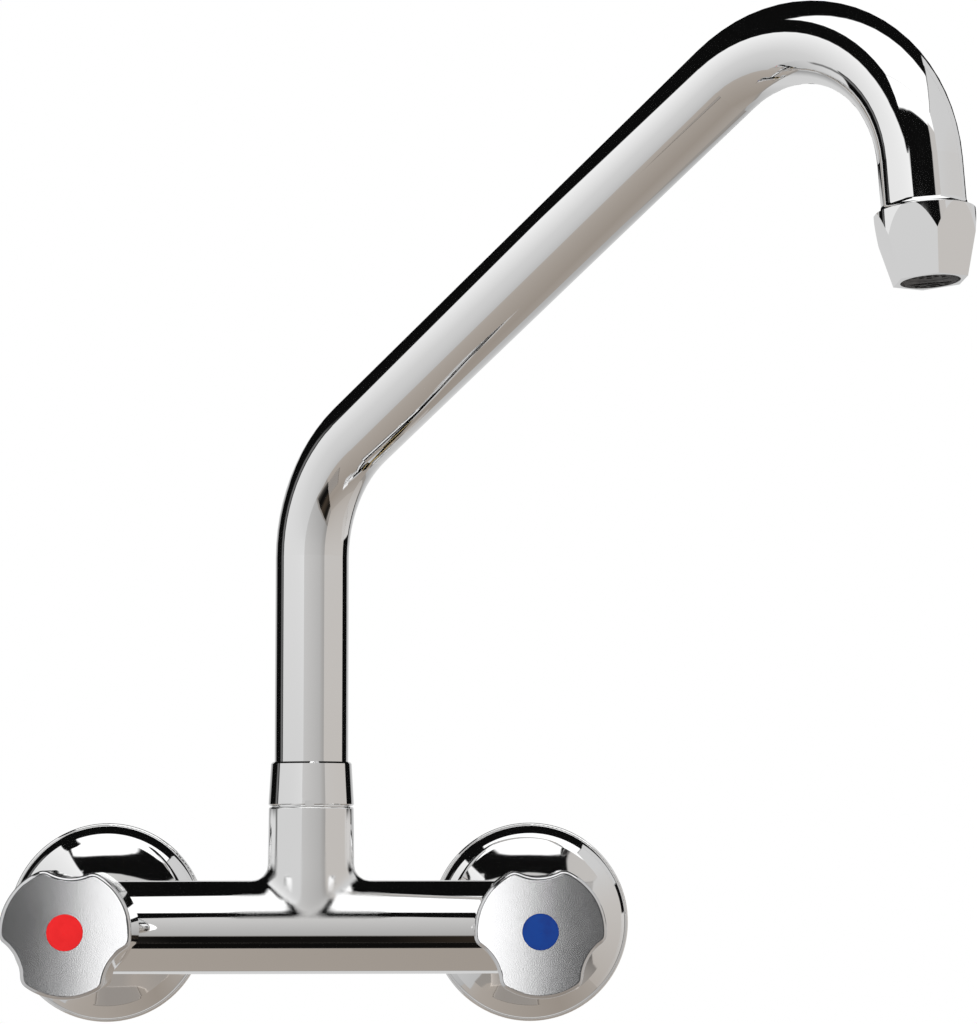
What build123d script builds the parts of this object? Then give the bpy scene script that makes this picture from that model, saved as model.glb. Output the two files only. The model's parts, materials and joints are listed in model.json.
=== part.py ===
from build123d import *
from math import cos, radians, sin, tan
import os

# Wall-mounted two-handle mixer with a swivel spout, in millimetres.
# The origin is midway between the two wall inlets, on the wall's surface.
# +X runs to the right along the wall, +Y into the wall, +Z up.

# Layout
inlet_spacing = 150.0
body_projection = 70.0
eccentric_offset = 8.0
half_spacing = inlet_spacing / 2

# Fits between pieces, on the radius unless said otherwise
thread_clearance = 0.06
running_clearance = 0.06
seal_clearance = 0.05
face_gap = 0.05
seat_gap = 0.3

# Standard pipe threads, drawn as plain cylinders at their outer diameter
half_inch_thread_d = 20.955
three_quarter_thread_d = 26.441
thread_lead = 0.2
thread_end_gap = 1.0

# Eccentric wall union
union_wall_length = 20.0
union_front_length = 20.6
union_wall_bore_d = 14.0
union_front_bore_d = 17.0
union_root_d = 23.0
thread_chamfer = 1.0

# Wall rosette
rosette_d = 70.0
rosette_lip_width = 0.85
rosette_lip_height = 0.7
rosette_height = 11.8
rosette_wall = 1.4
rosette_shoulder_r = 8.2
rosette_shoulder_outer_angle = 83.0
rosette_shoulder_inner_angle = 19.0
rosette_shoulder_foot = 0.8
rosette_lip_crest = 0.35
rosette_face_slope = 8.0
rosette_hub_length = 3.2
rosette_hub_wall = 1.8
rosette_hub_edge = 0.5
rosette_hub_gap = 0.3

# Union nut, inlet tail and their seal
union_seal_thickness = 2.0
union_seal_margin = 0.5
union_nut_wall = 1.78
union_nut_overlap = 11.0
union_nut_shoulder = 3.4
tail_flange_clearance = 0.52
tail_flange_thickness = 3.0
tail_thread_relief = 0.18
tail_bare_length = 5.45
tail_bore_d = 12.8
tail_thread_length = 10.0

# Mixer body
socket_set_in = 1.0
body_tube_wall = 3.0
chamber_step = 1.3
chamber_front = 18.0
chamber_back = 18.0
chamber_edge = 1.0
chamber_root_fillet = 1.2
bore_end_wall = 1.0
boss_d = 29.0
boss_edge = 0.8
seat_depth = 8.0
seat_wall = 4.0
seat_port_d = 12.4
chamber_bore_d = 23.0
side_port_d = 15.0
housing_thread_length = 10.0

# Spout socket on the body
socket_step = 1.1
socket_taper = 0.3
socket_height = 40.0
socket_fillet = 5.4
socket_edge = 0.7
neck_step = 0.75
neck_height = 10.5
ferrule_bore_d = 21.0

# Ceramic-disc valve housing
housing_thread_relief = 1.08
housing_barrel_foot = 6.5
housing_bore_d = 16.0
housing_window = 7.0
washer_rim = 0.82
washer_face_thickness = 2.2
housing_ring_section = 1.3
housing_hex_height = 5.0
housing_neck_d = 16.2
seat_seal_thickness = 2.5
seat_seal_bore_d = 10.4
disc_thickness = 3.0
disc_slot_width = 3.0
disc_slot_depth = 1.2
disc_port_r = 4.0
disc_port_d = 4.4

# Spindle, with its ring and clip
spindle_d = 10.0
spindle_driver_thickness = 3.8
spindle_driver_width = 8.0
driver_headroom = 0.2
driver_cone = 1.0
driver_key_margin = 0.5
spindle_groove_drop = 8.2
spindle_groove_width = 2.2
spindle_groove_depth = 1.5
clip_groove_width = 1.1
clip_groove_d = 8.6
clip_thickness = 0.9
clip_d = 12.6
clip_gap_angle = 60.0
clip_seat_gap = 0.2
spindle_shoulder = 0.9
spline_d = 8.0
spline_length = 12.0
spline_tooth_depth = 0.35
spline_teeth = 20
spline_gap_width = 0.5
spindle_screw_depth = 8.5
spindle_end_gap = 0.6

# Valve shroud
shroud_clearance = 0.7
shroud_taper = 1.0
shroud_overhang = 0.6
shroud_wall = 1.6
shroud_top_thickness = 2.0
shroud_edge = 1.2

# Three-lobed knob
knob_face_height = 62.0
knob_depth = 27.0
knob_notch_wall = 2.2
knob_lobe_rise = 3.6
knob_notch_cutter_r = 14.4
knob_notch_round = 4.0
knob_face_round = 1.3
knob_back_round = 0.6
knob_face_thickness = 9.0
knob_cavity_clearance = 0.2
knob_boss_d = 15.0
knob_boss_gap = 0.5
knob_notches = 3
hot_knob_turn = -3.0
cold_knob_turn = 1.0
insert_d = 11.0
knob_screw_d = 4.0
knob_screw_head_d = 7.0
knob_screw_head_height = 2.6
knob_screw_hex = 2.5
knob_screw_hex_depth = 1.6
knob_screw_tip_gap = 1.0
index_d = 11.5
index_depth = 3.4
index_crown = 0.4

# Spout collar
collar_foot_step = 0.1
collar_taper = 0.8
collar_lip_gap = 0.1
collar_lip_thickness = 1.7
collar_edge = 0.6
notch_width = 3.0
notch_height = 1.7
notch_depth = 0.8

# Spout ferrule, slip ring and O-rings
slip_ring_thickness = 1.0
slip_ring_clearance = 0.2
ferrule_flange_thickness = 1.6
ferrule_spigot_length = 9.5
ferrule_depth = 20.0
ferrule_through_d = 14.4
o_ring_groove_depth = 1.75
o_ring_groove_width = 2.4
o_ring_section = 1.7
o_ring_depths = (14.0, 7.0)

# Spout tube: upright, first bend, leaning arm, hook and short end
spout_tube_d = 24.7
spout_tube_wall = 1.2
spout_upright_top = 123.8
lower_bend_r = 47.3
lower_bend_angle = 58.3
arm_length = 182.8
hook_bend_r = 46.6
hook_bend_angle = 116.9
spout_end_length = 12.9
spout_rest_angle = 42.8

# Nozzle
nozzle_length = 22.6
nozzle_step = 2.35
nozzle_mouth_step = 1.6
nozzle_wall = 1.0
nozzle_shoulder_round = 2.2
nozzle_barrel_length = 12.0
nozzle_flat_slope = 0.235
nozzle_turn = 13.6
tube_insertion = 3.0
nozzle_hood_gap = 0.4
nozzle_thread_d = 21.0
nozzle_lip_thickness = 2.1
nozzle_lip_width = 0.6
thread_ring_end = 12.0
thread_ring_spigot = 6.0
thread_ring_bore_d = 18.0
aerator_washer_thickness = 1.7
aerator_washer_bore_d = 17.4
aerator_rim_margin = 0.1
cartridge_flange_thickness = 1.2
cartridge_step = 1.2
cartridge_wall = 1.1
cartridge_floor = 1.4
cartridge_hole_d = 1.7
cartridge_hole_gap = 0.7
cartridge_hole_margin = 0.9
cartridge_hole_rows = 7
mesh_thickness = 0.5
mesh_hole_d = 1.2
mesh_pitch = 2.0
mesh_rim = 0.8
mesh_hole_rows = 9

# Diameters that follow from the pieces they go round
neck_d = spout_tube_d + 2 * neck_step
socket_top_d = neck_d + 2 * socket_step
socket_foot_d = socket_top_d + 2 * socket_taper
body_tube_d = socket_foot_d + 2 * socket_set_in
chamber_d = body_tube_d + 2 * chamber_step
collar_foot_d = socket_top_d + 2 * collar_foot_step
collar_top_d = collar_foot_d - 2 * collar_taper
union_nut_flats = three_quarter_thread_d + 2 * union_nut_wall
tail_flange_d = three_quarter_thread_d - 2 * tail_flange_clearance
tail_tube_d = half_inch_thread_d - 2 * tail_thread_relief
housing_barrel_d = half_inch_thread_d - 2 * housing_thread_relief
ring_groove_d = half_inch_thread_d + 2 * (housing_ring_section + 2 * seal_clearance)
washer_face_d = ring_groove_d + 2 * washer_rim
housing_hex_flats = washer_face_d * cos(radians(30))
shroud_foot_d = washer_face_d + 2 * (shroud_clearance + shroud_wall)
shroud_top_d = shroud_foot_d - 2 * shroud_taper
knob_cavity_d = shroud_foot_d + 2 * knob_cavity_clearance
knob_notch_r = knob_cavity_d / 2 + knob_notch_wall
knob_lobe_d = 2 * (knob_notch_r + knob_lobe_rise)

# Heights along the valve axis, measured forward from the body tube's axis
body_height = eccentric_offset
housing_flange_height = chamber_front + face_gap
housing_hex_start = housing_flange_height + washer_face_thickness
seal_top = -seat_depth + face_gap + seat_seal_thickness
fixed_disc_top = seal_top + face_gap + disc_thickness
moving_disc_top = fixed_disc_top + face_gap + disc_thickness
driver_top = moving_disc_top + face_gap + spindle_driver_thickness
knob_back_height = knob_face_height - knob_depth
knob_web_height = knob_face_height - knob_face_thickness
screw_head_height = knob_face_height - index_depth - seat_gap - knob_screw_head_height
spindle_top = knob_web_height - spindle_end_gap
spline_start = spindle_top - spline_length
clip_height = spline_start - spindle_shoulder - clip_groove_width
housing_neck_top = clip_height - clip_seat_gap
spindle_groove_height = housing_neck_top - spindle_groove_drop
shroud_foot = chamber_front + seat_gap
shroud_top = housing_neck_top + shroud_overhang

# Distances from the wall, measured forward
union_front_start = rosette_height - rosette_hub_length - rosette_hub_gap
union_front_end = union_front_start + union_front_length
tail_face = union_front_end + union_seal_thickness + 2 * face_gap
tail_flange_front = tail_face + tail_flange_thickness
union_nut_back = union_front_end - union_nut_overlap
union_nut_front = tail_flange_front + face_gap + union_nut_shoulder
boss_face = union_nut_front + tail_bare_length
boss_length = body_projection - chamber_back - boss_face
tail_thread_end = boss_face + tail_thread_length

# Heights along the spout's upright axis, measured up from the body tube's axis
slip_ring_foot = socket_height + neck_height + face_gap
flange_foot = slip_ring_foot + slip_ring_thickness + face_gap
flange_top = flange_foot + ferrule_flange_thickness
collar_foot = socket_height + seat_gap
collar_lip_under = flange_top + collar_lip_gap
collar_top = collar_lip_under + collar_lip_thickness
ferrule_foot_height = socket_height - ferrule_depth

# Depths along the nozzle's axis, measured down from its top, and the sizes that go with them
nozzle_hood_depth = tube_insertion + nozzle_hood_gap
nozzle_thread_depth = thread_ring_end + 2 * face_gap + aerator_washer_thickness + cartridge_flange_thickness
nozzle_d = spout_tube_d + 2 * nozzle_step
nozzle_flat_r = nozzle_thread_d / 2 + thread_clearance + nozzle_wall
nozzle_flat_foot = 2 * (nozzle_flat_r - nozzle_flat_slope * (nozzle_length - nozzle_thread_depth))
nozzle_mouth_d = nozzle_flat_foot + 2 * nozzle_mouth_step
cartridge_d = nozzle_thread_d - 2 * cartridge_step
nozzle_outlet_d = cartridge_d - 2 * nozzle_lip_width
cartridge_bore_d = cartridge_d - 2 * cartridge_wall

os.makedirs("parts", exist_ok=True)


def save(part, name):
    """Label a finished piece and write it under its name."""
    part.label = name
    export_step(part, f"parts/{name}.step")


def wall_plane(x):
    """Plane through an inlet's front axis: across the axis, then out from the wall."""
    return Plane(origin=(x, 0, body_height), x_dir=(1, 0, 0), z_dir=(0, 0, -1))


def wall_axis(x):
    """Axis of an inlet's front part, pointing out from the wall."""
    return Axis((x, 0, body_height), (0, -1, 0))


def valve_section(x):
    """Plane through a valve's axis: across the axis, then forward from the tube's axis."""
    return Plane(origin=(x, -body_projection, body_height), x_dir=(1, 0, 0), z_dir=(0, 0, -1))


def valve_axis(x):
    """Axis of a valve, pointing forward."""
    return Axis((x, -body_projection, body_height), (0, -1, 0))


def valve_face(x, height):
    """Plane square to a valve's axis, facing forward, at a height along the axis."""
    return Plane(origin=(x, -body_projection - height, body_height), x_dir=(1, 0, 0), z_dir=(0, -1, 0))


def ring_section(inner_d, outer_d, low, high):
    """Rectangle of a plain ring's wall, from its two diameters and its two heights."""
    Polyline(
        (inner_d / 2, low),
        (outer_d / 2, low),
        (outer_d / 2, high),
        (inner_d / 2, high),
        close=True,
    )


# Mixer body: tube, valve chambers, inlet bosses and spout socket in one casting
tube_end_plane = Plane(
    origin=(-half_spacing, -body_projection, body_height), x_dir=(0, 1, 0), z_dir=(1, 0, 0)
)
column_section = Plane(origin=(0, -body_projection, body_height), x_dir=(1, 0, 0), z_dir=(0, -1, 0))
column_axis = Axis((0, -body_projection, body_height), (0, 0, 1))
bore_end = half_spacing - chamber_d / 2 - bore_end_wall

with BuildPart() as mixer_body:
    with BuildSketch(tube_end_plane):
        Circle(body_tube_d / 2)
    extrude(amount=inlet_spacing)

    # Upright socket, rounded into the tube
    with BuildSketch(column_section):
        with BuildLine():
            Polyline(
                (0, 0),
                (socket_foot_d / 2, 0),
                (socket_foot_d / 2, body_tube_d / 2),
                (socket_top_d / 2, socket_height),
                (0, socket_height),
                close=True,
            )
        make_face()
    revolve(axis=column_axis)
    socket_seam = mixer_body.edges(Select.NEW).filter_by(GeomType.BSPLINE)
    fillet(socket_seam, socket_fillet)
    socket_rim = mixer_body.edges().filter_by(GeomType.CIRCLE).group_by(Axis.Z)[-1]
    fillet(socket_rim, socket_edge)

    # Valve chambers with their inlet bosses
    for x in (-half_spacing, half_spacing):
        with BuildSketch(valve_face(x, -chamber_back)):
            Circle(chamber_d / 2)
        extrude(amount=chamber_back + chamber_front)
    chamber_seams = mixer_body.edges().filter_by(GeomType.BSPLINE).filter_by(
        lambda seam: abs(seam.center().X) > bore_end
    )
    fillet(chamber_seams, chamber_root_fillet)
    chamber_rims = mixer_body.faces().filter_by(Axis.Y).edges().filter_by(GeomType.CIRCLE)
    chamfer(chamber_rims, chamber_edge)
    for x in (-half_spacing, half_spacing):
        with BuildSketch(valve_face(x, -chamber_back)):
            Circle(boss_d / 2)
        extrude(amount=-boss_length)
    boss_rims = mixer_body.faces().sort_by(Axis.Y)[-2:].edges().filter_by(GeomType.CIRCLE)
    chamfer(boss_rims, boss_edge)

    # Threaded neck for the collar, then the bore for the ferrule
    with BuildSketch(Plane.XY.offset(body_height + socket_height)):
        with Locations((0, -body_projection)):
            Circle(neck_d / 2)
    extrude(amount=neck_height)
    with BuildSketch(Plane.XY.offset(body_height)):
        with Locations((0, -body_projection)):
            Circle(ferrule_bore_d / 2)
    extrude(amount=socket_height + neck_height, mode=Mode.SUBTRACT)

    # Waterway through the tube, with a narrower port into each chamber
    with BuildSketch(tube_end_plane.offset(half_spacing - bore_end)):
        Circle(body_tube_d / 2 - body_tube_wall)
    extrude(amount=2 * bore_end, mode=Mode.SUBTRACT)
    with BuildSketch(tube_end_plane):
        Circle(side_port_d / 2)
    extrude(amount=inlet_spacing, mode=Mode.SUBTRACT)

    # Each chamber: inlet thread, seat wall with its port, chamber bore, housing thread
    boss_thread_end = tail_thread_end + thread_end_gap - body_projection
    for x in (-half_spacing, half_spacing):
        with BuildSketch(valve_section(x)):
            with BuildLine():
                Polyline(
                    (0, -chamber_back - boss_length),
                    (half_inch_thread_d / 2 + thread_clearance, -chamber_back - boss_length),
                    (half_inch_thread_d / 2 + thread_clearance, boss_thread_end),
                    (seat_port_d / 2, -seat_depth - seat_wall),
                    (seat_port_d / 2, -seat_depth),
                    (chamber_bore_d / 2, -seat_depth),
                    (chamber_bore_d / 2, chamber_front - housing_thread_length),
                    (half_inch_thread_d / 2 + thread_clearance, chamber_front - housing_thread_length),
                    (half_inch_thread_d / 2 + thread_clearance, chamber_front),
                    (0, chamber_front),
                    close=True,
                )
            make_face()
        revolve(axis=valve_axis(x), mode=Mode.SUBTRACT)
save(mixer_body.part, "mixer_body")


def build_wall_connection(side, x):
    """Wall union, rosette, union nut, inlet tail and seal of one side."""
    # Eccentric union: wall thread below, offset passage, front thread on the valve's axis
    wall_thread_plane = Plane(origin=(x, 0, 0), x_dir=(1, 0, 0), z_dir=(0, 1, 0))
    front_start_plane = Plane(
        origin=(x, -union_front_start, body_height), x_dir=(1, 0, 0), z_dir=(0, -1, 0)
    )
    with BuildPart() as union:
        with BuildSketch(wall_thread_plane):
            Circle(half_inch_thread_d / 2)
        extrude(amount=union_wall_length)
        chamfer(union.faces().sort_by(Axis.Y)[-1].edges(), thread_chamfer)
        with BuildSketch(Plane(origin=(x, 0, 0), x_dir=(1, 0, 0), z_dir=(0, -1, 0))):
            Circle(union_root_d / 2)
        with BuildSketch(front_start_plane):
            Circle(three_quarter_thread_d / 2)
        loft()
        with BuildSketch(front_start_plane):
            Circle(three_quarter_thread_d / 2)
        extrude(amount=union_front_length)
        chamfer(union.faces().sort_by(Axis.Y)[0].edges(), thread_chamfer)
        with BuildSketch(wall_thread_plane):
            Circle(union_wall_bore_d / 2)
        extrude(amount=union_wall_length, mode=Mode.SUBTRACT)
        with BuildSketch(Plane(origin=(x, 0, 0), x_dir=(1, 0, 0), z_dir=(0, -1, 0))):
            Circle(union_wall_bore_d / 2)
        with BuildSketch(front_start_plane):
            Circle(union_front_bore_d / 2)
        loft(mode=Mode.SUBTRACT)
        with BuildSketch(front_start_plane):
            Circle(union_front_bore_d / 2)
        extrude(amount=union_front_length, mode=Mode.SUBTRACT)
    save(union.part, f"wall_union_{side}")

    # Rosette: narrow lip, steep skirt that rounds into the shoulder, sloping face and a threaded hub
    rosette_r = rosette_d / 2
    lip_inner_r = rosette_r - rosette_lip_width
    outer_angle = radians(rosette_shoulder_outer_angle)
    inner_angle = radians(rosette_shoulder_inner_angle)
    middle_angle = (outer_angle + inner_angle) / 2
    shoulder_center_r = lip_inner_r - rosette_shoulder_r * sin(outer_angle)
    shoulder_center_s = rosette_shoulder_foot - rosette_shoulder_r * cos(outer_angle)

    def shoulder_point(angle, inset):
        radius = rosette_shoulder_r - inset
        return (shoulder_center_r + radius * sin(angle), shoulder_center_s + radius * cos(angle))

    hub_r = three_quarter_thread_d / 2 + thread_clearance
    hub_outer_r = hub_r + rosette_hub_wall
    hub_foot_height = rosette_height - rosette_hub_length
    hub_slope = radians(rosette_face_slope)
    shoulder_end = shoulder_point(inner_angle, 0)
    inner_shoulder_end = shoulder_point(inner_angle, rosette_wall)
    inner_skirt_foot = shoulder_point(outer_angle, rosette_wall)
    with BuildPart() as rosette:
        with BuildSketch(wall_plane(x)):
            with BuildLine():
                outer_foot = Line((inner_skirt_foot[0], 0), (rosette_r, 0))
                lip_side = Line(outer_foot @ 1, (rosette_r, rosette_lip_height / 2))
                lip_top = ThreePointArc(
                    lip_side @ 1,
                    (rosette_r - rosette_lip_crest, rosette_lip_height),
                    shoulder_point(outer_angle, 0),
                )
                shoulder = ThreePointArc(
                    lip_top @ 1, shoulder_point(middle_angle, 0), shoulder_end
                )
                face = Spline(
                    shoulder @ 1,
                    (hub_outer_r, rosette_height - rosette_hub_edge),
                    tangents=[(-cos(inner_angle), sin(inner_angle)), (-cos(hub_slope), sin(hub_slope))],
                )
                hub_edge = Line(face @ 1, (hub_r, rosette_height))
                hub_bore = Line(hub_edge @ 1, (hub_r, hub_foot_height))
                hub_foot = Line(hub_bore @ 1, (hub_outer_r, hub_foot_height))
                hub_side = Line(
                    hub_foot @ 1, (hub_outer_r, rosette_height - rosette_hub_edge - rosette_wall)
                )
                inner_face = Line(hub_side @ 1, inner_shoulder_end)
                inner_shoulder = ThreePointArc(
                    inner_face @ 1,
                    shoulder_point(middle_angle, rosette_wall),
                    inner_skirt_foot,
                )
                Line(inner_shoulder @ 1, outer_foot @ 0)
            make_face()
        revolve(axis=wall_axis(x))
    save(rosette.part, f"rosette_{side}")

    # Seal between the union and the tail
    with BuildPart() as union_seal:
        with BuildSketch(wall_plane(x)):
            with BuildLine():
                ring_section(
                    union_front_bore_d,
                    tail_flange_d - 2 * union_seal_margin,
                    union_front_end + face_gap,
                    union_front_end + face_gap + union_seal_thickness,
                )
            make_face()
        revolve(axis=wall_axis(x))
    save(union_seal.part, f"union_seal_{side}")

    # Inlet tail: flange under the nut, plain tube, thread into the body
    with BuildPart() as inlet_tail:
        with BuildSketch(wall_plane(x)):
            with BuildLine():
                Polyline(
                    (tail_bore_d / 2, tail_face),
                    (tail_flange_d / 2, tail_face),
                    (tail_flange_d / 2, tail_flange_front),
                    (tail_tube_d / 2, tail_flange_front),
                    (tail_tube_d / 2, boss_face),
                    (half_inch_thread_d / 2, boss_face + thread_lead),
                    (half_inch_thread_d / 2, tail_thread_end),
                    (tail_bore_d / 2, tail_thread_end),
                    close=True,
                )
            make_face()
        revolve(axis=wall_axis(x))
    save(inlet_tail.part, f"inlet_tail_{side}")

    # Union nut: hexagon with turned corners, threaded bore and an inner shoulder
    nut_plane = Plane(origin=(x, -union_nut_back, body_height), x_dir=(1, 0, 0), z_dir=(0, -1, 0))
    nut_length = union_nut_front - union_nut_back
    nut_corner_d = union_nut_flats / cos(radians(30))
    nut_turned_edge = (nut_corner_d - union_nut_flats) / 2 * tan(radians(30))
    with BuildPart() as union_nut:
        with BuildSketch(nut_plane):
            RegularPolygon(union_nut_flats / 2, 6, major_radius=False)
        extrude(amount=nut_length)
        with BuildSketch(wall_plane(x)):
            with BuildLine():
                Polyline(
                    (0, union_nut_back),
                    (union_nut_flats / 2, union_nut_back),
                    (nut_corner_d / 2, union_nut_back + nut_turned_edge),
                    (nut_corner_d / 2, union_nut_front - nut_turned_edge),
                    (union_nut_flats / 2, union_nut_front),
                    (0, union_nut_front),
                    close=True,
                )
            make_face()
        revolve(axis=wall_axis(x), mode=Mode.INTERSECT)
        with BuildSketch(nut_plane):
            Circle(three_quarter_thread_d / 2 + thread_clearance)
        extrude(amount=nut_length - union_nut_shoulder, mode=Mode.SUBTRACT)
        with BuildSketch(nut_plane):
            Circle(half_inch_thread_d / 2 + seat_gap / 2)
        extrude(amount=nut_length, mode=Mode.SUBTRACT)
    save(union_nut.part, f"union_nut_{side}")


def build_valve(side, x):
    """Valve housing, its seals and discs, spindle, ring, clip and shroud of one side."""
    # Valve housing: barrel on the seat, thread, washer face, hexagon and neck
    shaft_bore_d = spindle_d + 2 * running_clearance
    housing_thread_foot = chamber_front - housing_thread_length + thread_end_gap
    with BuildPart() as valve_housing:
        with BuildSketch(valve_section(x)):
            with BuildLine():
                Polyline(
                    (0, -housing_barrel_foot),
                    (housing_barrel_d / 2, -housing_barrel_foot),
                    (housing_barrel_d / 2, housing_thread_foot),
                    (half_inch_thread_d / 2, housing_thread_foot + thread_chamfer),
                    (half_inch_thread_d / 2, housing_flange_height + housing_ring_section),
                    (ring_groove_d / 2, housing_flange_height + housing_ring_section),
                    (ring_groove_d / 2, housing_flange_height),
                    (washer_face_d / 2, housing_flange_height),
                    (washer_face_d / 2, housing_hex_start),
                    (housing_neck_d / 2, housing_hex_start),
                    (housing_neck_d / 2, housing_neck_top),
                    (0, housing_neck_top),
                    close=True,
                )
            make_face()
        revolve(axis=valve_axis(x))
        with BuildSketch(valve_face(x, housing_hex_start)):
            RegularPolygon(housing_hex_flats / 2, 6, major_radius=False)
        extrude(amount=housing_hex_height)
        with BuildSketch(valve_section(x)):
            with BuildLine():
                Polyline(
                    (0, -housing_barrel_foot),
                    (housing_bore_d / 2, -housing_barrel_foot),
                    (housing_bore_d / 2, driver_top + driver_headroom),
                    (shaft_bore_d / 2, driver_top + driver_headroom + driver_cone),
                    (shaft_bore_d / 2, housing_neck_top),
                    (0, housing_neck_top),
                    close=True,
                )
            make_face()
        revolve(axis=valve_axis(x), mode=Mode.SUBTRACT)
        with BuildSketch(valve_face(x, moving_disc_top)):
            Rectangle(housing_window, chamber_bore_d)
        extrude(amount=housing_window, mode=Mode.SUBTRACT)
    save(valve_housing.part, f"valve_housing_{side}")

    # O-ring in the groove under the washer face, around the thread
    with BuildPart() as housing_ring:
        with BuildSketch(valve_section(x)):
            with Locations(
                (
                    (half_inch_thread_d + ring_groove_d) / 4,
                    housing_flange_height + housing_ring_section / 2,
                )
            ):
                Circle(housing_ring_section / 2 - face_gap / 2)
        revolve(axis=valve_axis(x))
    save(housing_ring.part, f"housing_o_ring_{side}")

    # Rubber seat seal, pressed between the seat and the fixed disc
    with BuildPart() as seat_seal:
        with BuildSketch(valve_section(x)):
            with BuildLine():
                ring_section(
                    seat_seal_bore_d,
                    housing_bore_d - 2 * seal_clearance,
                    -seat_depth + face_gap,
                    seal_top,
                )
            make_face()
        revolve(axis=valve_axis(x))
    save(seat_seal.part, f"seat_seal_{side}")

    # Fixed ceramic disc with two ports
    disc_d = housing_bore_d - 2 * running_clearance
    with BuildPart() as fixed_disc:
        with BuildSketch(valve_face(x, fixed_disc_top - disc_thickness)):
            Circle(disc_d / 2)
            with PolarLocations(disc_port_r, 2):
                Circle(disc_port_d / 2, mode=Mode.SUBTRACT)
        extrude(amount=disc_thickness)
    save(fixed_disc.part, f"fixed_disc_{side}")

    # Moving ceramic disc, closed over those ports, with a slot for the driver
    with BuildPart() as moving_disc:
        with BuildSketch(valve_face(x, moving_disc_top - disc_thickness)):
            Circle(disc_d / 2)
            with PolarLocations(disc_port_r, 2, start_angle=90):
                Circle(disc_port_d / 2, mode=Mode.SUBTRACT)
        extrude(amount=disc_thickness)
        with BuildSketch(valve_face(x, moving_disc_top)):
            Rectangle(disc_d, disc_slot_width)
        extrude(amount=-disc_slot_depth, mode=Mode.SUBTRACT)
    save(moving_disc.part, f"moving_disc_{side}")

    # Spindle: driver bar with a key, shaft with two grooves, splined end with a screw hole
    shaft_groove_d = spindle_d - 2 * spindle_groove_depth
    with BuildPart() as spindle:
        with BuildSketch(valve_section(x)):
            with BuildLine():
                Polyline(
                    (0, moving_disc_top + face_gap),
                    (disc_d / 2, moving_disc_top + face_gap),
                    (disc_d / 2, driver_top),
                    (spindle_d / 2, driver_top),
                    (spindle_d / 2, spindle_groove_height),
                    (shaft_groove_d / 2, spindle_groove_height),
                    (shaft_groove_d / 2, spindle_groove_height + spindle_groove_width),
                    (spindle_d / 2, spindle_groove_height + spindle_groove_width),
                    (spindle_d / 2, clip_height),
                    (clip_groove_d / 2, clip_height),
                    (clip_groove_d / 2, clip_height + clip_groove_width),
                    (spindle_d / 2, clip_height + clip_groove_width),
                    (spline_d / 2, spline_start),
                    (spline_d / 2, spindle_top),
                    (0, spindle_top),
                    close=True,
                )
            make_face()
        revolve(axis=valve_axis(x))
        with BuildSketch(valve_face(x, driver_top)):
            Circle(housing_bore_d / 2)
            Rectangle(housing_bore_d, spindle_driver_width, mode=Mode.SUBTRACT)
            Circle(spindle_d / 2, mode=Mode.SUBTRACT)
        extrude(amount=-spindle_driver_thickness, mode=Mode.SUBTRACT)
        with BuildSketch(valve_face(x, moving_disc_top + face_gap)):
            Rectangle(disc_d - 2 * driver_key_margin, disc_slot_width - 2 * running_clearance)
        extrude(amount=-disc_slot_depth)
        with BuildSketch(valve_face(x, spindle_top)):
            with PolarLocations(spline_d / 2, spline_teeth):
                Rectangle(2 * spline_tooth_depth, spline_gap_width)
        extrude(amount=-spline_length, mode=Mode.SUBTRACT)
        with BuildSketch(valve_face(x, spindle_top)):
            Circle(knob_screw_d / 2 + thread_clearance)
        extrude(amount=-spindle_screw_depth, mode=Mode.SUBTRACT)
    save(spindle.part, f"spindle_{side}")

    # O-ring in the spindle's groove, drawn at its squashed size
    ring_inner_d = shaft_groove_d + 2 * seal_clearance
    ring_outer_d = spindle_d
    ring_section_d = (ring_outer_d - ring_inner_d) / 2
    with BuildPart() as spindle_ring:
        with BuildSketch(valve_section(x)):
            with Locations(
                (
                    (ring_inner_d + ring_outer_d) / 4,
                    spindle_groove_height + spindle_groove_width / 2,
                )
            ):
                Circle(ring_section_d / 2)
        revolve(axis=valve_axis(x))
    save(spindle_ring.part, f"spindle_o_ring_{side}")

    # Open clip that keeps the spindle in the housing
    with BuildPart() as spindle_clip:
        with BuildSketch(valve_face(x, clip_height + (clip_groove_width - clip_thickness) / 2)):
            Circle(clip_d / 2)
            Circle(clip_groove_d / 2 + thread_clearance, mode=Mode.SUBTRACT)
            with BuildLine():
                gap_reach = clip_d
                gap_half = radians(clip_gap_angle / 2)
                Polyline(
                    (0, 0),
                    (gap_reach * sin(gap_half), -gap_reach * cos(gap_half)),
                    (-gap_reach * sin(gap_half), -gap_reach * cos(gap_half)),
                    close=True,
                )
            make_face(mode=Mode.SUBTRACT)
        extrude(amount=clip_thickness)
    save(spindle_clip.part, f"spindle_clip_{side}")

    # Shroud: thin tapering cup over the hexagon, held on the housing's neck
    with BuildPart() as valve_shroud:
        with BuildSketch(valve_section(x)):
            with BuildLine():
                Polyline(
                    (shroud_foot_d / 2 - shroud_wall, shroud_foot),
                    (shroud_foot_d / 2, shroud_foot),
                    (shroud_top_d / 2, shroud_top - shroud_edge),
                    (shroud_top_d / 2 - shroud_edge, shroud_top),
                    (housing_neck_d / 2 + thread_clearance, shroud_top),
                    (housing_neck_d / 2 + thread_clearance, shroud_top - shroud_top_thickness),
                    (shroud_top_d / 2 - shroud_wall, shroud_top - shroud_top_thickness),
                    close=True,
                )
            make_face()
        revolve(axis=valve_axis(x))
    save(valve_shroud.part, f"valve_shroud_{side}")


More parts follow.
